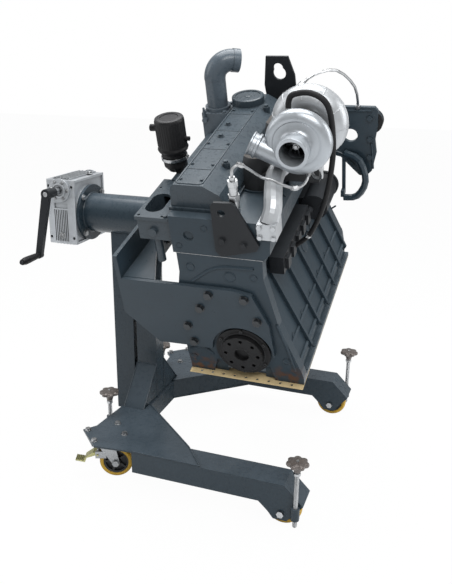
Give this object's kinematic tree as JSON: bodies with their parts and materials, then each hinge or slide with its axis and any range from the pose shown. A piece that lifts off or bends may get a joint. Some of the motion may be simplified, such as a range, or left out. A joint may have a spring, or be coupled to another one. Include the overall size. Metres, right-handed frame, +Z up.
{
  "type": "diesel engine on a roll-over stand",
  "caption": "Turbocharged in-line diesel engine without its oil pan, tilted on a wheeled roll-over stand with a hand-cranked worm gearbox.",
  "frame": {"origin": "on the floor under the middle of the whole object", "axes": "+X along the turning axis from the hand crank to the engine, +Y from the hand crank side to the far side, +Z up"},
  "size_m": [1.2104, 1.0793, 1.5221],
  "materials": {
    "engine_paint": "satin",
    "stand_paint": "satin",
    "black_paint": "satin",
    "block_iron": "satin",
    "dark_iron": "matte",
    "gearbox_cast": "satin",
    "silver_cast": "satin",
    "piston_alloy": "satin",
    "machined_steel": "satin",
    "zinc_bolts": "satin",
    "zinc_yellow": "satin",
    "bronze": "satin",
    "gasket_fibre": "matte",
    "black_plastic": "matte",
    "knob_plastic": "satin",
    "wheel_tread": "satin",
    "hose_rubber": "matte"
  },
  "bodies": {
    "stand": {"near_leg": "stand_paint", "far_leg": "stand_paint", "cross_beam": "stand_paint", "column": "stand_paint", "bearing_tube": "stand_paint", "shaft_bearings": "machined_steel", "caster_plates": "stand_paint", "stand_bolts": "zinc_bolts", "gearbox_housing": "gearbox_cast", "gearbox_covers": "gearbox_cast"},
    "engine": {"turning_shaft": "machined_steel", "worm_wheel": "bronze", "engine_bracket": "engine_paint", "engine_bolts": "zinc_bolts", "cylinder_block": "block_iron", "bearing_caps": "dark_iron", "rear_seal_carrier": "silver_cast", "pan_gasket": "gasket_fibre", "cylinder_head": "block_iron", "rocker_cover": "engine_paint", "intake_manifold": "silver_cast", "breather_canister": "black_plastic", "coolant_elbow": "silver_cast", "lifting_eyes": "black_paint", "exhaust_manifold": "dark_iron", "exhaust_branch": "silver_cast", "turbine_housing": "dark_iron", "turbo_centre": "dark_iron", "compressor_housing": "silver_cast", "oil_lines": "zinc_bolts", "turbo_hose": "hose_rubber", "timing_case": "silver_cast", "oil_cooler": "black_paint", "accessory_bracket": "engine_paint"},
    "worm": {"worm_shaft": "machined_steel", "crank_arm": "black_paint"},
    "grip": {"crank_grip": "black_plastic"},
    "crank": {"crankshaft": "machined_steel", "crank_damper": "dark_iron"},
    "cam": {"camshaft": "machined_steel"},
    "rotor": {"turbo_rotor": "machined_steel"},
    "pistons_outer": {"pistons_1_6": "piston_alloy"},
    "pistons_middle": {"pistons_2_5": "piston_alloy"},
    "pistons_inner": {"pistons_3_4": "piston_alloy"},
    "near_caster": {"near_caster_fork": "machined_steel"},
    "near_pedal": {"near_brake_pedal": "zinc_yellow"},
    "near_left_wheel_body": {"near_left_wheel": "wheel_tread"},
    "near_left_rod": {"near_left_screw": "zinc_bolts"},
    "near_left_star": {"near_left_knob": "knob_plastic"},
    "near_right_wheel_body": {"near_right_wheel": "wheel_tread"},
    "near_right_rod": {"near_right_screw": "zinc_bolts"},
    "near_right_star": {"near_right_knob": "knob_plastic"},
    "far_caster": {"far_caster_fork": "machined_steel"},
    "far_pedal": {"far_brake_pedal": "zinc_yellow"},
    "far_left_wheel_body": {"far_left_wheel": "wheel_tread"},
    "far_left_rod": {"far_left_screw": "zinc_bolts"},
    "far_left_star": {"far_left_knob": "knob_plastic"},
    "far_right_wheel_body": {"far_right_wheel": "wheel_tread"},
    "far_right_rod": {"far_right_screw": "zinc_bolts"},
    "far_right_star": {"far_right_knob": "knob_plastic"}
  },
  "joints": [
    {"name": "engine_roll", "type": "hinge", "parent": "stand", "child": "engine", "pos_m": [-0.025, -0.037, 0.912], "axis": [1, 0, 0], "continuous": true},
    {"name": "worm_turn", "type": "hinge", "parent": "stand", "child": "worm", "pos_m": [-0.53, -0.247, 1.012], "axis": [0, 1, 0], "continuous": true},
    {"name": "grip_turn", "type": "hinge", "parent": "worm", "child": "grip", "pos_m": [-0.5799, -0.287, 0.77724], "axis": [0, 1, 0], "continuous": true},
    {"name": "crank_turn", "type": "hinge", "parent": "engine", "child": "crank", "pos_m": [0.271, -0.33837, 0.55863], "axis": [0, 0.9455, 0.3256], "continuous": true},
    {"name": "cam_turn", "type": "hinge", "parent": "engine", "child": "cam", "pos_m": [0.171, -0.37744, 0.67209], "axis": [0, 0.9455, 0.3256], "continuous": true},
    {"name": "rotor_spin", "type": "hinge", "parent": "engine", "child": "rotor", "pos_m": [0.449, -0.47009, 1.24832], "axis": [0, 0.9455, 0.3256], "continuous": true},
    {"name": "pistons_outer_stroke", "type": "slide", "parent": "engine", "child": "pistons_outer", "axis": [0, -0.3256, 0.9455], "range_m": [-0.116, 0]},
    {"name": "pistons_middle_stroke", "type": "slide", "parent": "engine", "child": "pistons_middle", "axis": [0, -0.3256, 0.9455], "range_m": [-0.029, 0.087]},
    {"name": "pistons_inner_stroke", "type": "slide", "parent": "engine", "child": "pistons_inner", "axis": [0, -0.3256, 0.9455], "range_m": [-0.029, 0.087]},
    {"name": "near_caster_swivel", "type": "hinge", "parent": "stand", "child": "near_caster", "pos_m": [-0.233, -0.406, 0.15], "axis": [0, 0, 1], "continuous": true},
    {"name": "near_left_wheel_roll", "type": "hinge", "parent": "near_caster", "child": "near_left_wheel_body", "pos_m": [-0.20105, -0.39437, 0.0625], "axis": [-0.342, 0.9397, 0], "continuous": true},
    {"name": "near_pedal_press", "type": "hinge", "parent": "near_caster", "child": "near_pedal", "pos_m": [-0.26307, -0.41695, 0.096], "axis": [-0.342, 0.9397, 0], "range_deg": [-8, 12]},
    {"name": "near_right_wheel_roll", "type": "hinge", "parent": "stand", "child": "near_right_wheel_body", "pos_m": [0.457, -0.441, 0.0625], "axis": [0, 1, 0], "continuous": true},
    {"name": "near_left_screw_travel", "type": "slide", "parent": "stand", "child": "near_left_rod", "axis": [0, 0, 1], "range_m": [-0.03, 0.03]},
    {"name": "near_left_knob_turn", "type": "hinge", "parent": "near_left_rod", "child": "near_left_star", "pos_m": [-0.284, -0.28, 0.23], "axis": [0, 0, 1], "range_deg": [-5400, 5400]},
    {"name": "near_right_screw_travel", "type": "slide", "parent": "stand", "child": "near_right_rod", "axis": [0, 0, 1], "range_m": [-0.03, 0.03]},
    {"name": "near_right_knob_turn", "type": "hinge", "parent": "near_right_rod", "child": "near_right_star", "pos_m": [0.509, -0.502, 0.23], "axis": [0, 0, 1], "range_deg": [-5400, 5400]},
    {"name": "far_caster_swivel", "type": "hinge", "parent": "stand", "child": "far_caster", "pos_m": [-0.233, 0.332, 0.15], "axis": [0, 0, 1], "continuous": true},
    {"name": "far_left_wheel_roll", "type": "hinge", "parent": "far_caster", "child": "far_left_wheel_body", "pos_m": [-0.20105, 0.34363, 0.0625], "axis": [-0.342, 0.9397, 0], "continuous": true},
    {"name": "far_pedal_press", "type": "hinge", "parent": "far_caster", "child": "far_pedal", "pos_m": [-0.26307, 0.32105, 0.096], "axis": [-0.342, 0.9397, 0], "range_deg": [-8, 12]},
    {"name": "far_right_wheel_roll", "type": "hinge", "parent": "stand", "child": "far_right_wheel_body", "pos_m": [0.457, 0.367, 0.0625], "axis": [0, 1, 0], "continuous": true},
    {"name": "far_left_screw_travel", "type": "slide", "parent": "stand", "child": "far_left_rod", "axis": [0, 0, 1], "range_m": [-0.03, 0.03]},
    {"name": "far_left_knob_turn", "type": "hinge", "parent": "far_left_rod", "child": "far_left_star", "pos_m": [-0.284, 0.206, 0.23], "axis": [0, 0, 1], "range_deg": [-5400, 5400]},
    {"name": "far_right_screw_travel", "type": "slide", "parent": "stand", "child": "far_right_rod", "axis": [0, 0, 1], "range_m": [-0.03, 0.03]},
    {"name": "far_right_knob_turn", "type": "hinge", "parent": "far_right_rod", "child": "far_right_star", "pos_m": [0.509, 0.428, 0.23], "axis": [0, 0, 1], "range_deg": [-5400, 5400]}
  ],
  "couplings": [
    {"joint": "worm_turn", "follows": "engine_roll", "ratio": 60},
    {"joint": "cam_turn", "follows": "crank_turn", "ratio": -0.5},
    {"joint": "near_left_knob_turn", "follows": "near_left_screw_travel", "rad_per_m": 3141.6},
    {"joint": "near_right_knob_turn", "follows": "near_right_screw_travel", "rad_per_m": 3141.6},
    {"joint": "far_left_knob_turn", "follows": "far_left_screw_travel", "rad_per_m": 3141.6},
    {"joint": "far_right_knob_turn", "follows": "far_right_screw_travel", "rad_per_m": 3141.6}
  ]
}
